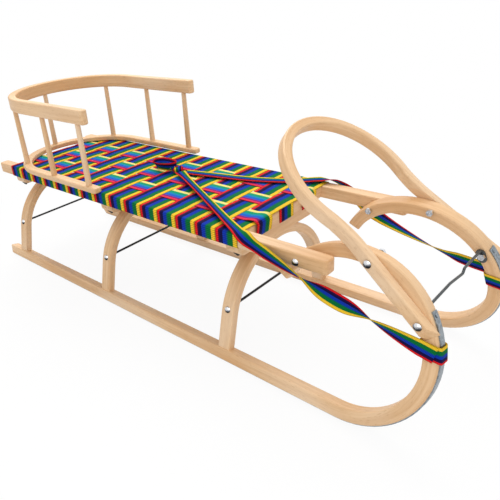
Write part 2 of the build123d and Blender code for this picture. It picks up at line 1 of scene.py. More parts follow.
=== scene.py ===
import bmesh
import bpy
import json
import math
from mathutils import Matrix, Vector


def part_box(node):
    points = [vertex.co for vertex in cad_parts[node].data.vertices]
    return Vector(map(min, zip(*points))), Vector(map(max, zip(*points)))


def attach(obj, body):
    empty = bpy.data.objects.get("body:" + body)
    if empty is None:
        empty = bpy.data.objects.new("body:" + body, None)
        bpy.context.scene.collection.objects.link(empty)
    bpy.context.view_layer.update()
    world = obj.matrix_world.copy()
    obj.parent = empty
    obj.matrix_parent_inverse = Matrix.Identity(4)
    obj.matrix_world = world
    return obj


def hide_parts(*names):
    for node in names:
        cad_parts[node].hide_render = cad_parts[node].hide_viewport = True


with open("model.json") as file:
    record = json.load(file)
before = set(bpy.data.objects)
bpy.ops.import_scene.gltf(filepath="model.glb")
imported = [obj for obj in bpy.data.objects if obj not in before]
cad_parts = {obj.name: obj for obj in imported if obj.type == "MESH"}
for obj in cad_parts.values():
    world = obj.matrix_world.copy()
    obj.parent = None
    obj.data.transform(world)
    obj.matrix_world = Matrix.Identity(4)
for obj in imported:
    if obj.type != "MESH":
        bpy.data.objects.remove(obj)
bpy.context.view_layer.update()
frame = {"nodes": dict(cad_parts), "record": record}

# Sizes and places, in metres, in the sled's own frame
UP = Vector((0, 0, 1))
CANT = math.radians(14.0)        # lean of the runners
FOOT_HALF_WIDTH = 0.180
BASE_HEIGHT = 0.00666            # outer lower edge of a runner
RUNNER_WIDTH = 0.024
RUNNER_HEIGHT = 0.023
SHOE_THICKNESS = 0.002
TOE_RADIUS = 0.137
CURL_RADIUS = 0.1505
CURL_X = 0.4325
LOOP_TURN = math.radians(8.7)    # strap loop on the curl
NAIL_TURN = math.radians(32.5)   # nail near the shoe's upper end
SOLE_NAILS = (-0.545, -0.300, -0.020, 0.260)
RAIL_SPLAY = 0.0052
RAIL_ROUND = 0.003
ARCH_CENTRE = 0.0551             # height of the arches' centre
HOOP_FOOT = Vector((0.5483, 0, 0.2079))
HOOP_HEAD = Vector((0.4612, 0, 0.2715))
HOOP_CENTRE = 0.2293             # from the foot, along the horn bow's plane
BOW_CENTRE = -0.380

# Webbing seat
BAND_PITCH = 0.050
BAND_WIDTH = 0.0492
WEB_THICKNESS = 0.0011
BAND_TUCK = 0.013
BAND_GAP = 0.0003                # between a cross band and the rail's faces
BAND_LIE = 0.0009                # middle of the webbing above the rails
STRAP_WIDTH = 0.045
STRAP_HEM = 0.0026               # lower end of a strap above the rear seat bar's lower face
CORDS = 13                       # coarse ribs in one width's length, on upright stretches
CORD_DEPTH = 0.30                # their light and shade
WEAVE_LIFT = 0.0008              # rise and fall of the webbing at each crossing
WEAVE_RAMP = 0.007               # length of the slope beside a crossing
SNUG_TURN = 0.0026               # turn of a strap over a seat bar
REAR_TURN = 0.0022               # turn of an outer strap over the rear edge of the first cross band
REAR_STAND_OFF = 0.0016          # the strap's stand-off there, below the backrest's bow
ROLL = 0.0095                    # turn of an outer strap over the front seat bar
ROLL_BULGE = 0.0036              # the strap's stand-off there, round the edge of the last cross band
ROLL_RISE = 0.026                # length of the strap's rise to it

# Pull strap: middle lines of its two legs, from the runners to the knot
STRAP_BREADTH = 0.025
STRAP_THICKNESS = 0.0016
LIE = 0.2702                     # height of the strap's middle on the seat
ROUTE_RIGHT = [
    (0.5759, -0.1429, 0.1695), (0.5534, -0.1424, 0.1731), (0.4867, -0.150, 0.195), (0.420, -0.1535, 0.210),
    (0.366, -0.1545, 0.229), (0.268, -0.154, 0.262), (0.238, -0.147, LIE + 0.002),
    (0.190, -0.121, LIE + 0.0015), (0.080, -0.060, LIE + 0.002), (-0.022, -0.006, LIE + 0.004),
    (-0.066, 0.0175, LIE + 0.004),
]
ROUTE_LEFT = [
    (0.5769, 0.1443, 0.163), (0.5544, 0.1434, 0.1666), (0.515, 0.1495, 0.166), (0.456, 0.155, 0.1715),
    (0.385, 0.157, 0.191), (0.325, 0.157, 0.213), (0.268, 0.156, 0.257), (0.235, 0.149, LIE + 0.002),
    (0.175, 0.101, LIE), (0.090, 0.0655, LIE), (-0.006, 0.046, LIE), (-0.064, 0.0315, LIE),
]
# Turn of the strap about its own line: x, degrees from lying flat on the seat
TURNS_RIGHT = ((0.5537, 76), (0.487, 135), (0.425, 222), (0.362, 135), (0.300, 92), (0.268, 78), (0.236, 0),
               (0.215, -12), (0.150, -20), (-0.020, -20), (-0.066, 0))
TURNS_LEFT = ((0.5537, 104), (0.500, 110), (0.472, 135), (0.345, 205), (0.300, 262), (0.265, 300),
              (0.220, 360))
LOOP_RISE = {"right": math.radians(2.6), "left": 0.0}  # strap drawn up the curl at the front of the loop
LOOP_LEAN = math.radians(4.0)    # more of it at the back, towards the strap's leg
LOOP_CORNER = 0.004              # turn of the loop round the runner's edges
LOOP_FRONT_GAP = 0.0014          # middle of the loop off the shoe
LOOP_BACK_GAP = 0.0026           # off the curl's inner face
LOOP_SIDE_GAP = 0.0012           # off the runner's sides
KNOT = Vector((-0.083, 0.026, 0.267))
KNOT_RISE = 0.0085               # middle of the knot's turns above that place
KNOT_TURNS = (
    # degrees from the hand loop's line, place along it, half height and half width
    (-24, 0.004, 0.0068, 0.0100),
    (38, -0.004, 0.0060, 0.0088),
)
KNOT_SQUEEZE = 0.72              # share of the strap's width in the knot
KNOT_RIPPLE = 0.05               # unevenness of its turns
KNOT_SWAY = 0.10
HAND_TURN = math.radians(183)    # direction of the hand loop
HAND_AHEAD = Vector((math.cos(HAND_TURN), math.sin(HAND_TURN), 0))
HAND_LEFT = Vector((-HAND_AHEAD.y, HAND_AHEAD.x, 0))
HAND_START = 0.004
HAND_LENGTH = 0.060
HAND_WIDTH = 0.034
HAND_PINCH = 0.45                # share of its width at the knot
HAND_LEAN = 0.45                 # lean of the strap away from the knot, and outwards
HAND_FLARE = 0.70
HAND_RISE = 0.0123               # middle of the hand loop above the knot's place

# Small fasteners
NUT_STACK = (
    # washer, nut and bolt end: radius, height and number of sides
    (0.0080, 0.0012, 24),
    (0.0058, 0.0052, 6),
    (0.0030, 0.0074, 16),
)
NUT_INSET = 0.012                # from a crossbeam's end
NAIL_RADIUS = 0.0036
NAIL_HEIGHT = 0.0014
SOLE_NAIL_HEIGHT = 0.0006
NAIL_SIDES = 20
HEAD_RINGS = ((1.0, 0.0), (1.0, 0.7), (0.85, 0.93), (0.7, 1.0))  # shares of a head's radius and height

# Figure of the wood: stretch along the grain, scale, detail and roughness of each noise
GRAIN_STREAK = (0.03, 170.0, 3.0, 0.6)
GRAIN_TONE = (0.18, 26.0, 2.0, 0.5)
GRAIN_FLECK = (0.09, 900.0, 1.0, 0.5)
GRAIN_CLOUD = (0.35, 11.0, 2.0, 0.5)
BEND_REACH = 0.14                # mean radius of the bent pieces, which turns an angle into a length

# Figure of the steel: scales of its noises
SPANGLE_SCALE = 240.0
SCRATCH_SCALE = 14.0
SCRATCH_STRETCH = (4.0, 90.0, 90.0)
SMEAR_SCALE = 420.0
COAT_SCALE = 300.0
NUT_PAINTED_HIGHLIGHT = 0.24                 # painted highlight on faces turned inwards

# Weave of the webbing: yarns in one width, light and shade
BAND_YARNS, STRAP_YARNS, PULL_YARNS = 24, 22, 13
STRIPE_WANDER = 0.02             # unevenness of the stripes' edges
YARN_DEPTH = 0.10
RIB_DEPTH, UPRIGHT_RIB_DEPTH = 0.09, 0.16
FUZZ_DEPTH = 0.35
WEB_BRIGHTNESS = 0.83
SHEEN_FADE_START, SHEEN_FADE_END = 0.05, 0.35  # upright share between which the painted sheen of the flat stretches gives way to the unsheened stripes
SELVEDGE_AND_SEAM_SHADE_START = 0.455           # from the band's middle, as a share of its width: darker selvedge with painted shade in the seams between bands
SELVEDGE_AND_SEAM_SHADE = 0.5

# Colours of the steel, the wood and the webbing, as sRGB
GALVANISED_DARK, GALVANISED_LIGHT = (104, 112, 118), (172, 180, 186)
# Tones of the chrome's painted reflection, from facing down to facing up
CHROME_REFLECTION_DARK, CHROME_REFLECTION_GREY, CHROME_REFLECTION_LIGHT = (34, 36, 42), (104, 106, 112), (220, 221, 224)
BLUED_STEEL = ((30, 28, 30), (66, 62, 60))
BLACK_PAINT = ((12, 12, 13), (30, 30, 32))
DULL_ZINC = ((54, 58, 60), (86, 90, 92))
WOOD_PALE = (233, 196, 153)
WOOD_TAN = (212, 170, 124)
WOOD_FLECK = (182, 136, 90)
WOOD_CLOUD = (240, 216, 188)
WOOD_WARM = (212, 158, 100)
BAND_STRIPES = (
    # start across the width, colour
    (0.00, (234, 30, 34)),
    (0.13, (56, 6, 58)),
    (0.21, (16, 8, 70)),
    (0.34, (12, 56, 178)),
    (0.52, (0, 90, 108)),
    (0.58, (0, 116, 54)),
    (0.81, (254, 208, 52)),
)
# Stripes of the lengthwise straps, washed pale as a painted sheen on their flat stretches
STRAP_STRIPES_WITH_SHEEN = (
    (0.00, (238, 52, 82)),
    (0.16, (140, 34, 122)),
    (0.28, (30, 96, 206)),
    (0.46, (18, 140, 190)),
    (0.60, (14, 158, 112)),
    (0.80, (254, 238, 140)),
)

# Camera of the photograph
CAMERA_PLACE = (0.7726, -0.7656, 0.6613)
CAMERA_RIGHT = (0.72578, 0.68249, -0.08629)
CAMERA_DOWN = (0.26732, -0.39538, -0.87876)
CAMERA_AHEAD = (-0.63386, 0.61472, -0.46941)
CAMERA_LENS = 38.73
CAMERA_SENSOR = 36
CAMERA_SHIFT = (0.103, 0.018)

# Studio
FLOOR_SIZE = 40
FLOOR_GREY = (0.86, 0.86, 0.86, 1)
FLOOR_WHITE = 0.92               # share of plain white under the sled, which hides most of the shadow
FLOOR_NEAR, FLOOR_FAR = 0.5, 1.0  # distances between which it rises to all white
LAMPS = (
    # name, place, size and power
    ("key", (-1.0, 1.1, 2.5), 2.2, 56),
    ("fill", (1.2, -1.2, 2.0), 2.5, 20),
)
WORLD_LIGHT = 0.66               # strength of the white surroundings as a light
WHITE = (1, 1, 1, 1)


def linear(colour):
    """Linear RGBA of an sRGB colour."""
    parts = [c / 255 for c in colour]
    return [c / 12.92 if c < 0.04045 else ((c + 0.055) / 1.055) ** 2.4 for c in parts] + [1.0]


# Shader building

def add(tree, kind, inputs=None, **settings):
    """New shader node with its settings, and its inputs linked or set."""
    node = tree.nodes.new("ShaderNode" + kind)
    for key, value in settings.items():
        setattr(node, key, value)
    for key, value in (inputs or {}).items():
        if isinstance(value, bpy.types.NodeSocket):
            tree.links.new(value, node.inputs[key])
        else:
            node.inputs[key].default_value = value
    return node


def calc(tree, operation, *values):
    return add(tree, "Math", dict(enumerate(values)), operation=operation).outputs[0]


def weighted(tree, a, share_a, b, share_b):
    """Sum of two values, each by its share."""
    return calc(tree, "ADD", calc(tree, "MULTIPLY", a, share_a), calc(tree, "MULTIPLY", b, share_b))


def remap(tree, value, start=0.0, end=1.0, low=0.0, high=1.0):
    """Value carried from start and end to low and high, and held between them."""
    values = {"Value": value, "From Min": start, "From Max": end, "To Min": low, "To Max": high}
    return add(tree, "MapRange", values).outputs[0]


def blend_colour(tree, factor, a, b, mode="MIX"):
    node = add(tree, "Mix", data_type="RGBA", blend_type=mode)
    for socket, value in zip((node.inputs[0], node.inputs[6], node.inputs[7]), (factor, a, b)):
        if isinstance(value, bpy.types.NodeSocket):
            tree.links.new(value, socket)
        else:
            socket.default_value = value
    return node.outputs[2]


def new_material(name):
    """Material with its node tree and Principled shader."""
    material = bpy.data.materials.new(name)
    material.use_nodes = True
    return material, material.node_tree, material.node_tree.nodes["Principled BSDF"]


def shader_roughness(tree, shader, value, low, high):
    tree.links.new(remap(tree, value, low=low, high=high), shader.inputs["Roughness"])


def shader_bump(tree, shader, height, strength, distance):
    bump = add(tree, "Bump", {"Height": height, "Strength": strength, "Distance": distance})
    tree.links.new(bump.outputs[0], shader.inputs["Normal"])


def noise(tree, vector, scale, detail=2.0, roughness=0.5):
    values = {"Vector": vector, "Scale": scale, "Detail": detail, "Roughness": roughness}
    return add(tree, "TexNoise", values).outputs["Fac"]


def steps(tree, factor, stops, interpolation="LINEAR"):
    """Colour of a ramp whose stops are places and sRGB colours."""
    ramp = add(tree, "ValToRGB", {"Fac": factor})
    ramp.color_ramp.interpolation = interpolation
    elements = ramp.color_ramp.elements
    while len(elements) < len(stops):
        elements.new(0.5)
    for element, (place, colour) in zip(elements, stops):
        element.position = place
        element.color = linear(colour)
    return ramp.outputs["Color"]


def place_in(tree):
    """Place on the piece, in the sled's frame."""
    return add(tree, "TexCoord").outputs["Object"]


# Grain: each wood takes two directions across the grain and one along it

def position(tree):
    split = add(tree, "SeparateXYZ", {0: place_in(tree)})
    return [split.outputs[i] for i in range(3)]


def lengthwise(tree):
    x, y, z = position(tree)
    return y, z, x


def crosswise(tree):
    x, y, z = position(tree)
    return x, z, y


def upright(tree):
    return position(tree)


def bent(tree, m, n, lean=0.0):
    """Across and along a bar that runs straight and then bends round the origin of m and n."""
    reach = calc(tree, "SQRT", weighted(tree, m, m, n, n))
    angle = calc(tree, "ARCTAN2", n, m)
    behind = calc(tree, "LESS_THAN", angle, -math.pi / 2 - 0.01)
    angle = calc(tree, "MULTIPLY_ADD", behind, 2 * math.pi, angle)
    turned = calc(tree, "SUBTRACT", angle, lean)
    bend = calc(tree, "GREATER_THAN", turned, 0.0)
    sine, cosine = math.sin(lean), math.cos(lean)
    off = weighted(tree, m, cosine, n, sine)
    run = weighted(tree, n, cosine, m, -sine)
    across = add(tree, "Mix", {"Factor": bend, "A": off, "B": reach}).outputs[0]
    bow = calc(tree, "MULTIPLY", turned, BEND_REACH)
    along = add(tree, "Mix", {"Factor": bend, "A": run, "B": bow}).outputs[0]
    return across, along


def runner_grain(tree):
    x, y, z = position(tree)
    side = calc(tree, "ABSOLUTE", y)
    depth = weighted(tree, side, math.cos(CANT), z, math.sin(CANT))
    up = calc(tree, "DIVIDE", calc(tree, "SUBTRACT", z, BASE_HEIGHT), math.cos(CANT))
    below = calc(tree, "SUBTRACT", TOE_RADIUS, up)
    ahead = calc(tree, "SUBTRACT", x, CURL_X)
    across, along = bent(tree, below, ahead)
    return depth, across, along


def arch_grain(tree):
    x, y, z = position(tree)
    rise = calc(tree, "SUBTRACT", z, ARCH_CENTRE)
    across, along = bent(tree, calc(tree, "ABSOLUTE", y), rise, CANT)
    return x, across, along


def horn_grain(tree):
    x, y, z = position(tree)
    up = (HOOP_HEAD - HOOP_FOOT).normalized()
    middle = HOOP_FOOT + up * HOOP_CENTRE
    rise = calc(tree, "SUBTRACT", weighted(tree, x, up.x, z, up.z), middle.dot(up))
    off = weighted(tree, x, up.z, z, -up.x)
    across, along = bent(tree, calc(tree, "ABSOLUTE", y), rise)
    return off, across, along


def bow_grain(tree):
    x, y, z = position(tree)
    back = calc(tree, "SUBTRACT", BOW_CENTRE, x)
    across, along = bent(tree, calc(tree, "ABSOLUTE", y), back)
    return z, across, along


def beech(name, grain):
    """Pale varnished beech: soft streaks along the grain and short dark flecks."""
    material, tree, shader = new_material(name)
    a, b, along = grain(tree)

    def stretched(share, scale, detail, roughness):
        place = add(tree, "CombineXYZ", {0: a, 1: b, 2: calc(tree, "MULTIPLY", along, share)}).outputs[0]
        return noise(tree, place, scale, detail, roughness)

    streak, tone = stretched(*GRAIN_STREAK), stretched(*GRAIN_TONE)
    fleck, cloud = stretched(*GRAIN_FLECK), stretched(*GRAIN_CLOUD)
    figure = weighted(tree, streak, 0.62, tone, 0.38)
    colour = steps(tree, figure, ((0.36, WOOD_TAN), (0.60, WOOD_PALE)))
    colour = blend_colour(tree, remap(tree, cloud, 0.50, 0.72, high=0.55), colour, linear(WOOD_CLOUD))
    colour = blend_colour(tree, remap(tree, cloud, 0.46, 0.28, high=0.50), colour, linear(WOOD_WARM))
    marks = remap(tree, fleck, 0.62, 0.74, high=0.45)
    colour = blend_colour(tree, marks, colour, linear(WOOD_FLECK))
    tree.links.new(colour, shader.inputs["Base Color"])
    shader_roughness(tree, shader, streak, 0.36, 0.52)
    shader.inputs["Coat Weight"].default_value = 0.05
    shader.inputs["Specular IOR Level"].default_value = 0.35
    shader.inputs["Coat Roughness"].default_value = 0.28
    shader_bump(tree, shader, calc(tree, "SUBTRACT", streak, marks), 0.25, 0.0002)
    return material


def galvanised():
    """Zinc-coated steel: grey, with soft spangle and scratches along its length."""
    material, tree, shader = new_material("galvanised_steel")
    place = place_in(tree)
    spangle = add(tree, "TexVoronoi", {"Vector": place, "Scale": SPANGLE_SCALE}).outputs["Color"]
    grey = add(tree, "RGBToBW", {0: spangle}).outputs[0]
    drawn = add(tree, "Mapping", {"Vector": place, "Scale": SCRATCH_STRETCH}).outputs[0]
    rub = noise(tree, drawn, SCRATCH_SCALE, 3.0)
    level = weighted(tree, grey, 0.35, rub, 0.65)
    colour = steps(tree, level, ((0.25, GALVANISED_DARK), (0.75, GALVANISED_LIGHT)))
    tree.links.new(colour, shader.inputs["Base Color"])
    shader.inputs["Metallic"].default_value = 1.0
    shader_roughness(tree, shader, level, 0.28, 0.50)
    shader_bump(tree, shader, rub, 0.12, 0.0002)
    return material


def chrome():
    """Polished plating with faint smears, a painted reflection that is darker where it faces down, and a
    painted highlight on the nuts inside.
    """
    material, tree, shader = new_material("chrome")
    place = place_in(tree)
    smear = noise(tree, place, SMEAR_SCALE, 3.0)
    normal = add(tree, "SeparateXYZ", {0: add(tree, "NewGeometry").outputs["Normal"]})
    side = add(tree, "SeparateXYZ", {0: place}).outputs[1]
    # Painted highlight on the faces turned inwards, towards the middle plane
    inward = calc(tree, "LESS_THAN", calc(tree, "MULTIPLY", side, normal.outputs[1]), 0.0)
    facing = calc(tree, "MULTIPLY_ADD", inward, NUT_PAINTED_HIGHLIGHT, normal.outputs[2])
    # Painted reflection: the plating's colour goes from dark facing down to light facing up
    level = calc(tree, "MULTIPLY_ADD", calc(tree, "SUBTRACT", smear, 0.5), 0.5, facing)
    tones = ((0.42, CHROME_REFLECTION_DARK), (0.54, CHROME_REFLECTION_GREY), (0.70, CHROME_REFLECTION_LIGHT))
    tree.links.new(steps(tree, remap(tree, level, -1.0), tones), shader.inputs["Base Color"])
    shader.inputs["Metallic"].default_value = 1.0
    shader_roughness(tree, shader, smear, 0.08, 0.22)
    return material


def dark_steel(name, low, high):
    """Painted, blued or dull zinc-coated steel with a slightly uneven coat."""
    material, tree, shader = new_material(name)
    coat = noise(tree, place_in(tree), COAT_SCALE, 3.0)
    tree.links.new(steps(tree, coat, ((0.3, low), (0.7, high))), shader.inputs["Base Color"])
    shader_roughness(tree, shader, coat, 0.28, 0.48)
    shader.inputs["Metallic"].default_value = 0.4
    shader_bump(tree, shader, coat, 0.15, 0.0002)
    return material


def webbing(name, stripes, yarns, unsheened_stripes=None, cord_depth=0.0):
    """Woven band, striped across its width, with yarns along it and ribs across.

    On upright stretches its stripes may change to ones without the painted sheen of its flat stretches, and
    its ribs may be coarser.
    """
    material, tree, shader = new_material(name)
    uv = add(tree, "TexCoord").outputs["UV"]
    split = add(tree, "SeparateXYZ", {0: uv})
    across, along = split.outputs[0], split.outputs[1]
    wander = calc(tree, "MULTIPLY", calc(tree, "SUBTRACT", noise(tree, uv, 40.0, 2.0), 0.5), STRIPE_WANDER)
    wandering = calc(tree, "ADD", across, wander)
    colour = steps(tree, wandering, stripes, "CONSTANT")
    yarn = calc(tree, "SINE", calc(tree, "MULTIPLY", across, 2 * math.pi * yarns))
    rib = calc(tree, "SINE", calc(tree, "MULTIPLY", along, 2 * math.pi * yarns))
    weave = calc(tree, "MULTIPLY", yarn, rib)
    fuzz = noise(tree, uv, 160.0, 3.0)
    facing = add(tree, "SeparateXYZ", {0: add(tree, "NewGeometry").outputs["Normal"]}).outputs[2]
    upright_share = calc(tree, "SUBTRACT", 1.0, calc(tree, "ABSOLUTE", facing))
    # Painted sheen: the given stripes stand on flat stretches, and the unsheened stripes set in where the band
    # turns upright
    if unsheened_stripes:
        unsheened = steps(tree, wandering, unsheened_stripes, "CONSTANT")
        colour = blend_colour(tree, remap(tree, upright_share, SHEEN_FADE_START, SHEEN_FADE_END), colour, unsheened)
    deep = calc(tree, "MULTIPLY_ADD", upright_share, UPRIGHT_RIB_DEPTH, RIB_DEPTH)
    shade = weighted(tree, weave, YARN_DEPTH, rib, deep)
    shade = calc(tree, "ADD", shade, calc(tree, "MULTIPLY", calc(tree, "SUBTRACT", fuzz, 0.5), FUZZ_DEPTH))
    cords = calc(tree, "SINE", calc(tree, "MULTIPLY", along, 2 * math.pi * CORDS))
    shade = calc(tree, "MULTIPLY_ADD", calc(tree, "MULTIPLY", cords, upright_share), cord_depth, shade)
    edge = calc(tree, "ABSOLUTE", calc(tree, "SUBTRACT", across, 0.5))
    # Darker selvedge, deepened into painted shade in the seams between neighbouring bands
    selvedge_and_seam_shade = remap(tree, edge, SELVEDGE_AND_SEAM_SHADE_START, 0.5, 1.0, SELVEDGE_AND_SEAM_SHADE)
    level = calc(tree, "MULTIPLY", calc(tree, "ADD", shade, WEB_BRIGHTNESS), selvedge_and_seam_shade)
    tone = add(tree, "CombineXYZ", {0: level, 1: level, 2: level}).outputs[0]
    tree.links.new(blend_colour(tree, 1.0, colour, tone, "MULTIPLY"), shader.inputs["Base Color"])
    shader_roughness(tree, shader, fuzz, 0.68, 0.90)
    shader.inputs["Specular IOR Level"].default_value = 0.10
    height = calc(tree, "ADD", calc(tree, "MULTIPLY", weave, 0.6), rib)
    shader_bump(tree, shader, height, 0.45, 0.0004)
    return material


# Mesh building

def add_piece(name, mesh, material):
    """Piece that rides on the sled."""
    piece = bpy.data.objects.new(name, mesh)
    bpy.context.collection.objects.link(piece)
    piece.data.materials.append(material)
    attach(piece, "root")
    return piece


# Section of a woven band: place across, height as a share of half the thickness
BAND_SECTION = ((-0.5, 0.3), (-0.48, 0.85), (-0.42, 1.0), (-0.2, 1.0), (0.0, 1.0), (0.2, 1.0), (0.42, 1.0),
                (0.48, 0.85), (0.5, 0.3))


def strip(line, sides, width, thick, first=0):
    """Closed band along a line, whose directions across are sides: vertices, faces and UVs."""
    section = list(BAND_SECTION) + [(a, -h) for a, h in reversed(BAND_SECTION)]
    count = len(section)
    verts, faces, uvs = [], [], []
    travelled = 0.0
    for i, (point, side) in enumerate(zip(line, sides)):
        before, after = line[max(i - 1, 0)], line[min(i + 1, len(line) - 1)]
        travelled += (point - before).length
        face = side.cross(after - before).normalized()
        for across, height in section:
            verts.append(point + side * (across * width) + face * (height * thick / 2))
            uvs.append((across + 0.5, travelled / width))
        if i:
            low, high = first + (i - 1) * count, first + i * count
            for k in range(count):
                j = (k + 1) % count
                faces.append((low + k, low + j, high + j, high + k))
    last = first + (len(line) - 1) * count
    faces.append([first + k for k in reversed(range(count))])
    faces.append([last + k for k in range(count)])
    return verts, faces, uvs


def add_strips(name, strips, width, thick, material):
    """One smooth piece of several bands, each a line with its directions across."""
    verts, faces, uvs = [], [], []
    for line, sides in strips:
        more = strip(line, sides, width, thick, len(verts))
        verts += more[0]
        faces += more[1]
        uvs += more[2]
    mesh = bpy.data.meshes.new(name)
    mesh.from_pydata(verts, [], faces)
    layer = mesh.uv_layers.new(name="UVMap")
    for loop in mesh.loops:
        layer.data[loop.index].uv = uvs[loop.vertex_index]
    for polygon in mesh.polygons:
        polygon.use_smooth = True
    return add_piece(name, mesh, material)


def ramp(value):
    """Smooth step from 0 to 1."""
    t = min(max(value, 0.0), 1.0)
    return t * t * (3 - 2 * t)


def arc(centre, radius, start, end, count=6):
    """Points of an arc in a plane, in degrees."""
    angles = [math.radians(start + (end - start) * i / count) for i in range(count + 1)]
    return [(centre[0] + radius * math.cos(a), centre[1] + radius * math.sin(a)) for a in angles]


# Webbing seat

RAIL_LOW, RAIL_HIGH = [Vector(c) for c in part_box("seat_rail_left")]
BANDS_LOW, BANDS_HIGH = [Vector(c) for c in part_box("webbing_cross_bands")]
BAND_COUNT = round((BANDS_HIGH.x - BANDS_LOW.x) / BAND_PITCH)
BAND_MIDDLES = [
    (BANDS_LOW.x + BANDS_HIGH.x) / 2 + BAND_PITCH * (i - (BAND_COUNT - 1) / 2) for i in range(BAND_COUNT)
]
WEB_LEVEL = RAIL_HIGH.z + BAND_LIE
STRAPS = [("webbing_strap_" + name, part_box("webbing_strap_" + name)) for name in ("right", "middle", "left")]
STRAP_MIDDLES = [(low[1] + high[1]) / 2 for _, (low, high) in STRAPS]


def strap_is_over(strap, band):
    return (band + strap) % 2 == 0


def rail_outer(x):
    return RAIL_HIGH.y - RAIL_SPLAY * (x - RAIL_LOW.x) / (RAIL_HIGH.x - RAIL_LOW.x)


def band_level(band, y):
    """Middle of a cross band at a distance from the middle plane: down under a strap, up over one."""
    level = WEB_LEVEL
    for k, middle in enumerate(STRAP_MIDDLES):
        near = ramp((STRAP_WIDTH / 2 + WEAVE_RAMP - abs(y - middle)) / WEAVE_RAMP)
        level += near * WEAVE_LIFT * (-1 if strap_is_over(k, band) else 1)
    return level


def band_line(band):
    """A cross band, from under one rail, over the seat, to under the other."""
    x = BAND_MIDDLES[band]
    half = rail_outer(x) + WEB_THICKNESS / 2 + BAND_GAP
    under = RAIL_LOW.z - WEB_THICKNESS / 2 - BAND_GAP
    turn = RAIL_ROUND + WEB_THICKNESS / 2
    side = [(half - BAND_TUCK, under), (half - BAND_TUCK / 2, under)]
    side += arc((half - turn, under + turn), turn, -90, 0)
    side += [(half, (under + WEB_LEVEL) / 2)]
    side += arc((half - turn, WEB_LEVEL - turn), turn, 0, 90)
    top = half - turn
    count = 96
    flat = [(top - 2 * top * i / count, band_level(band, top - 2 * top * i / count)) for i in range(1, count)]
    points = side + flat + [(-y, z) for y, z in reversed(side)]
    return [Vector((x, y, z)) for y, z in points]


def strap_level(strap, x):
    """Middle of a lengthwise strap: over one cross band and under the next."""
    level = 0.0
    for band, middle in enumerate(BAND_MIDDLES):
        inside = ramp((BAND_PITCH / 2 + WEAVE_RAMP / 2 - abs(x - middle)) / WEAVE_RAMP)
        level += inside * (1 if strap_is_over(strap, band) else -1)
    return WEB_LEVEL + WEAVE_LIFT * max(min(level, 1.0), -1.0)


def strap_line(strap):
    """A lengthwise strap with its ends down over the seat bars."""
    low, high = [Vector(c) for c in STRAPS[strap][1]]
    rear, front = low.x + WEB_THICKNESS / 2, high.x - WEB_THICKNESS / 2
    count = 300
    # An outer strap goes round the edge of the last band at each end, and rolls loosely over the front bar.
    rear_turn, rear_off = (REAR_TURN, REAR_STAND_OFF) if strap_is_over(strap, 0) else (SNUG_TURN, 0.0)
    turn, bulge = (ROLL, ROLL_BULGE) if strap_is_over(strap, BAND_COUNT - 1) else (SNUG_TURN, 0.0)
    start, end = rear - rear_off + rear_turn, front + bulge - turn

    def level(x):
        return strap_level(strap, x) + bulge * ramp((x - end + ROLL_RISE) / ROLL_RISE)

    rear_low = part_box("seat_bar_rear")[0][2] + STRAP_HEM
    line = [(rear, rear_low), (rear - rear_off / 2, (rear_low + level(start) - rear_turn) / 2)]
    line += arc((start, level(start) - rear_turn), rear_turn, 180, 90)
    xs = [start + (end - start) * i / count for i in range(1, count)]
    line += [(x, level(x)) for x in xs]
    line += arc((end, level(end) - turn), turn, 90, 0, 12)
    line += [(front + bulge / 2, (low.z + level(end) - turn) / 2), (front, low.z)]
    return [Vector((x, STRAP_MIDDLES[strap], z)) for x, z in line]


def make_seat(material_bands, material_straps):
    forward, leftward = Vector((1, 0, 0)), Vector((0, 1, 0))
    lines = [list(reversed(band_line(i))) for i in range(BAND_COUNT)]
    bands = add_strips("seat_cross_bands", [(line, [forward] * len(line)) for line in lines],
                       BAND_WIDTH, WEB_THICKNESS, material_bands)
    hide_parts("webbing_cross_bands", "webbing_wraps")
    for k, (node, _) in enumerate(STRAPS):
        line = strap_line(k)
        piece = add_strips(node.replace("webbing", "seat"), [(line, [leftward] * len(line))],
                           STRAP_WIDTH, WEB_THICKNESS, material_straps)
        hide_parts(node)


# Pull strap

def add_strap(name, strips, material, breadth=STRAP_BREADTH):
    return add_strips(name, strips, breadth, STRAP_THICKNESS, material)


def smooth_line(name, points):
    """Points along the smooth curve of a route."""
    curve = bpy.data.curves.new(name, "CURVE")
    curve.dimensions = "3D"
    spline = curve.splines.new("NURBS")
    spline.points.add(len(points) - 1)
    for point, place in zip(spline.points, points):
        point.co = (*place, 1.0)
    spline.order_u = 3
    spline.use_endpoint_u = True
    spline.resolution_u = 24
    holder = bpy.data.objects.new(name, curve)
    bpy.context.collection.objects.link(holder)
    mesh = bpy.data.meshes.new_from_object(holder.evaluated_get(bpy.context.evaluated_depsgraph_get()))
    line = [v.co.copy() for v in mesh.vertices]
    bpy.data.objects.remove(holder)
    return line


def turn_at(x, turns):
    """Turn of the strap at x, on a smooth line through the places of its table."""
    last = len(turns) - 1
    if x >= turns[0][0] or x <= turns[last][0]:
        return turns[0][1] if x >= turns[0][0] else turns[last][1]

    def slope(k):
        (x0, a0), (x1, a1) = turns[max(k - 1, 0)], turns[min(k + 1, last)]
        return (a1 - a0) / (x1 - x0)

    i = next(k for k in range(last) if x >= turns[k + 1][0])
    (x0, a0), (x1, a1) = turns[i], turns[i + 1]
    run = x1 - x0
    t = (x - x0) / run
    bend = t * (1 - t) * ((1 - t) * slope(i) - t * slope(i + 1)) * run
    return a0 + (a1 - a0) * ramp(t) + bend


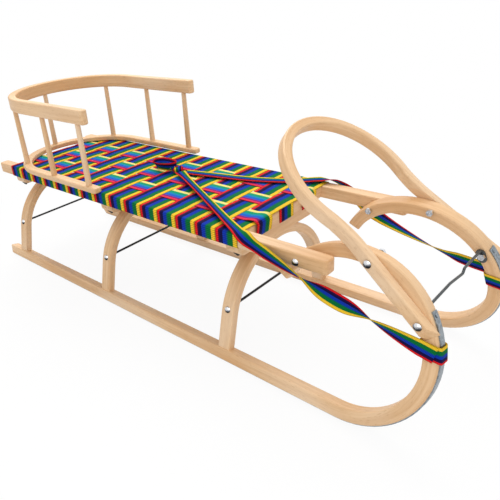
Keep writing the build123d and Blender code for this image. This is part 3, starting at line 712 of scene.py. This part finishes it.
def make_leg(name, node, route, turns, material):
    """One leg of the pull strap: a flat band that turns over on its way."""
    line = smooth_line(name + "_route", route)
    sides = []
    for i, point in enumerate(line):
        ahead = (line[max(i - 1, 0)] - line[min(i + 1, len(line) - 1)]).normalized()
        left = UP.cross(ahead).normalized()
        sides.append(Matrix.Rotation(math.radians(turn_at(point.x, turns)), 3, ahead) @ left)
    piece = add_strap(name, [(line, sides)], material)
    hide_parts(node)


def make_hand_loop(material):
    """Hand loop of the strap, standing on edge behind the knot."""
    line, sides = [], []
    count = 64
    for i in range(count + 1):
        a = 2 * math.pi * i / count
        far = (1 - math.cos(a)) / 2
        reach = HAND_START + HAND_LENGTH * far
        swing = HAND_WIDTH / 2 * math.sin(a) * (HAND_PINCH + (1 - HAND_PINCH) * far)
        line.append(KNOT + HAND_AHEAD * reach + HAND_LEFT * swing + UP * HAND_RISE)
        lean = HAND_AHEAD * (HAND_LEAN * far) + HAND_LEFT * (HAND_FLARE * math.sin(a)) + UP
        sides.append(-lean.normalized())
    piece = add_strap("pull_strap_hand_loop", [(line, sides)], material)
    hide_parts("pull_strap_knot")
    return piece


def make_knot(material):
    """Knot: two snug turns of the strap, one across the other."""
    middle = KNOT + UP * KNOT_RISE
    strips = []
    count = 40
    for turn, along, high, wide in KNOT_TURNS:
        axis = Matrix.Rotation(math.radians(turn), 3, "Z") @ HAND_AHEAD
        out = UP.cross(axis)
        line, sides = [], []
        for i in range(count + 1):
            a = 2 * math.pi * i / count
            ripple = 1 + KNOT_RIPPLE * math.sin(5 * a + turn)
            place = out * (wide * ripple * math.cos(a)) + UP * (high * ripple * math.sin(a))
            line.append(middle + HAND_AHEAD * along + place)
            sides.append((axis + HAND_LEFT * KNOT_SWAY * math.sin(2 * a)).normalized())
        strips.append((line, sides))
    return add_strap("pull_strap_turns", strips, material, STRAP_BREADTH * KNOT_SQUEEZE)


def runner_place(x, up, depth, side):
    """Point of a runner: along, up its leaning plane, and in from its outer face."""
    y = FOOT_HALF_WIDTH - up * math.sin(CANT) - depth * math.cos(CANT)
    return Vector((x, side * y, BASE_HEIGHT + up * math.cos(CANT) - depth * math.sin(CANT)))


def curl_place(turn, reach, depth, side):
    """Point by its turn round the curl and its distance from the curl's centre."""
    return runner_place(CURL_X + reach * math.cos(turn), TOE_RADIUS + reach * math.sin(turn), depth, side)


def curl_up(turn, side, step=0.01):
    """Direction of a runner along its curl."""
    ahead = curl_place(turn + step, CURL_RADIUS, 0, side)
    return (ahead - curl_place(turn, CURL_RADIUS, 0, side)).normalized()


def make_runner_loop(name, side, material):
    """Band of the pull strap round the front of a runner and its shoe."""
    inner, outer = CURL_RADIUS - RUNNER_HEIGHT - LOOP_BACK_GAP, CURL_RADIUS + SHOE_THICKNESS + LOOP_FRONT_GAP
    back, front = inner + LOOP_CORNER, outer - LOOP_CORNER
    near, far = -LOOP_SIDE_GAP + LOOP_CORNER, RUNNER_WIDTH + LOOP_SIDE_GAP - LOOP_CORNER
    outline = []
    for reach, depth, start in ((front, near, -90), (front, far, 0), (back, far, 90), (back, near, 180)):
        outline += arc((reach, depth), LOOP_CORNER, start, start + 90)
    outline.append(outline[0])
    rise = LOOP_TURN + LOOP_RISE[name]
    turns = [rise + LOOP_LEAN * (outer - reach) / (outer - inner) for reach, _ in outline]
    line = [curl_place(t, reach, depth, side) for t, (reach, depth) in zip(turns, outline)]
    ups = [curl_up(t, side) for t in turns]
    piece = add_strap("pull_strap_wrap_" + name, [(line, ups)], material)
    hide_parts("strap_loop_" + name)


# Small fasteners

def add_turned(shape, place, axis, radius, height, segments):
    """Bevelled head or nut on a seat: a low drum with a narrower top."""
    seat = Matrix.Translation(place) @ UP.rotation_difference(axis).to_matrix().to_4x4()
    loops = []
    for wide, high in HEAD_RINGS:
        loop = []
        for k in range(segments):
            a = 2 * math.pi * k / segments
            spot = Vector((radius * wide * math.cos(a), radius * wide * math.sin(a), height * high))
            loop.append(shape.verts.new(seat @ spot))
        loops.append(loop)
    for low, high in zip(loops, loops[1:]):
        for k in range(segments):
            j = (k + 1) % segments
            shape.faces.new((low[k], low[j], high[j], high[k]))
    shape.faces.new(loops[-1])
    shape.faces.new(list(reversed(loops[0])))


def add_fasteners(name, heads, material):
    """Heads: place, axis, radius, height and number of sides."""
    shape = bmesh.new()
    for place, axis, radius, height, segments in heads:
        add_turned(shape, place, axis, radius, height, segments)
    mesh = bpy.data.meshes.new(name)
    shape.to_mesh(mesh)
    shape.free()
    add_piece(name, mesh, material)


def make_fasteners(dark, zinc):
    down = Vector((0, 0, -1))
    nuts = []
    for name in ("rear", "middle", "front"):
        low, high = [Vector(c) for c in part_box("crossbeam_" + name)]
        for side in (1, -1):
            place = Vector(((low.x + high.x) / 2, side * (high.y - NUT_INSET), low.z))
            nuts += [(place, down, *head) for head in NUT_STACK]
    add_fasteners("crossbeam_nuts", nuts, dark)
    nails = []
    for side in (1, -1):
        top = CURL_RADIUS + SHOE_THICKNESS
        seat = curl_place(NAIL_TURN, top, RUNNER_WIDTH / 2, side)
        axis = (curl_place(NAIL_TURN, top + 0.01, RUNNER_WIDTH / 2, side) - seat).normalized()
        nails.append((seat, axis, NAIL_RADIUS, NAIL_HEIGHT, NAIL_SIDES))
        for x in SOLE_NAILS:
            seat = runner_place(x, -SHOE_THICKNESS, RUNNER_WIDTH / 2, side)
            axis = (runner_place(x, -0.01, RUNNER_WIDTH / 2, side) - seat).normalized()
            nails.append((seat, axis, NAIL_RADIUS, SOLE_NAIL_HEIGHT, NAIL_SIDES))
    add_fasteners("shoe_nails", nails, zinc)


# Finish of the CAD pieces

GRAINS = {
    "runner_left": runner_grain, "runner_right": runner_grain,
    "seat_rail_left": lengthwise, "seat_rail_right": lengthwise,
    "trestle_rear": arch_grain, "trestle_middle": arch_grain, "trestle_front": arch_grain,
    "crossbeam_rear": crosswise, "crossbeam_middle": crosswise, "crossbeam_front": crosswise,
    "seat_bar_front": crosswise, "seat_bar_rear": crosswise,
    "horn_bow": horn_grain,
    "backrest_lower_bow": bow_grain, "backrest_upper_bow": bow_grain,
    "backrest_spindles": upright,
}


def dress(materials, rod):
    """Finishes by slot, wood by its grain, and the cross rod's darker zinc."""
    woods = {}
    for subpart in frame["record"]["subparts"]:
        node, slot = subpart["node"], subpart["material_slot"]
        if slot == "beech":
            grain = GRAINS[node]
            if grain not in woods:
                woods[grain] = beech("beech_" + grain.__name__, grain)
            finish = woods[grain]
        elif node == "front_cross_rod":
            finish = rod
        elif slot in materials:
            finish = materials[slot]
        else:
            continue
        piece = frame["nodes"][node]
        piece.data.materials.clear()
        piece.data.materials.append(finish)


# Studio

def seen_share(tree):
    """1 where the floor or the surroundings are looked at, straight or in a reflection, and 0 as a light."""
    path = add(tree, "LightPath")
    seen = calc(tree, "MAXIMUM", path.outputs["Is Camera Ray"], path.outputs["Is Glossy Ray"])
    return calc(tree, "MAXIMUM", seen, path.outputs["Is Transmission Ray"])


def make_floor():
    """White floor that keeps a soft shadow."""
    bpy.ops.mesh.primitive_plane_add(size=FLOOR_SIZE)
    floor = bpy.context.object
    floor.name = "floor"
    material, tree, shader = new_material("floor_white")
    shader.inputs["Base Color"].default_value = FLOOR_GREY
    shader.inputs["Roughness"].default_value = 0.9
    shader.inputs["Specular IOR Level"].default_value = 0.1
    glow = add(tree, "Emission", {"Color": WHITE, "Strength": 1.0})
    away = add(tree, "VectorMath", {0: place_in(tree)}, operation="LENGTH").outputs["Value"]
    share = calc(tree, "MULTIPLY", seen_share(tree), remap(tree, away, FLOOR_NEAR, FLOOR_FAR, FLOOR_WHITE))
    mix = add(tree, "MixShader", {0: share, 1: shader.outputs[0], 2: glow.outputs[0]})
    tree.links.new(mix.outputs[0], tree.nodes["Material Output"].inputs["Surface"])
    floor.data.materials.append(material)


def make_lamp(name, place, size, power):
    lamp = bpy.data.lights.new(name, "AREA")
    lamp.size = size
    lamp.energy = power
    holder = bpy.data.objects.new(name, lamp)
    holder.location = place
    holder.rotation_euler = (-Vector(place)).to_track_quat("-Z", "Y").to_euler()
    bpy.context.collection.objects.link(holder)


def make_world():
    """Even white surroundings."""
    world = bpy.data.worlds.new("studio")
    bpy.context.scene.world = world
    world.use_nodes = True
    tree = world.node_tree
    background = tree.nodes["Background"]
    tree.links.new(remap(tree, seen_share(tree), low=WORLD_LIGHT), background.inputs["Strength"])
    background.inputs["Color"].default_value = WHITE


def make_camera():
    data = bpy.data.cameras.new("camera")
    data.lens = CAMERA_LENS
    data.sensor_width = CAMERA_SENSOR
    data.shift_x, data.shift_y = CAMERA_SHIFT
    camera = bpy.data.objects.new("camera", data)
    axes = [Vector(CAMERA_RIGHT), -Vector(CAMERA_DOWN), -Vector(CAMERA_AHEAD)]
    camera.matrix_world = Matrix.Translation(CAMERA_PLACE) @ Matrix(axes).transposed().to_4x4()
    bpy.context.collection.objects.link(camera)
    bpy.context.scene.camera = camera


steel = galvanised()
blued = dark_steel("blued_steel", *BLUED_STEEL)
bands = webbing("seat_band_weave", BAND_STRIPES, BAND_YARNS, cord_depth=CORD_DEPTH)
straps = webbing("seat_strap_weave", STRAP_STRIPES_WITH_SHEEN, STRAP_YARNS, BAND_STRIPES, CORD_DEPTH)
pull = webbing("pull_strap_weave", BAND_STRIPES, PULL_YARNS)
finishes = {
    "galvanised_steel": steel,
    "chrome": chrome(),
    "black_steel": dark_steel("black_paint", *BLACK_PAINT),
}
dress(finishes, dark_steel("dull_zinc", *DULL_ZINC))
make_seat(bands, straps)
knot = [make_hand_loop(pull), make_knot(pull)]
make_leg("pull_strap_leg_right", "pull_strap_right", ROUTE_RIGHT, TURNS_RIGHT, pull)
make_leg("pull_strap_leg_left", "pull_strap_left", ROUTE_LEFT, TURNS_LEFT, pull)
make_runner_loop("left", 1, pull)
make_runner_loop("right", -1, pull)
make_fasteners(blued, steel)
make_floor()
for lamp in LAMPS:
    make_lamp(*lamp)
make_world()
make_camera()
bpy.context.scene.view_settings.view_transform = "Standard"
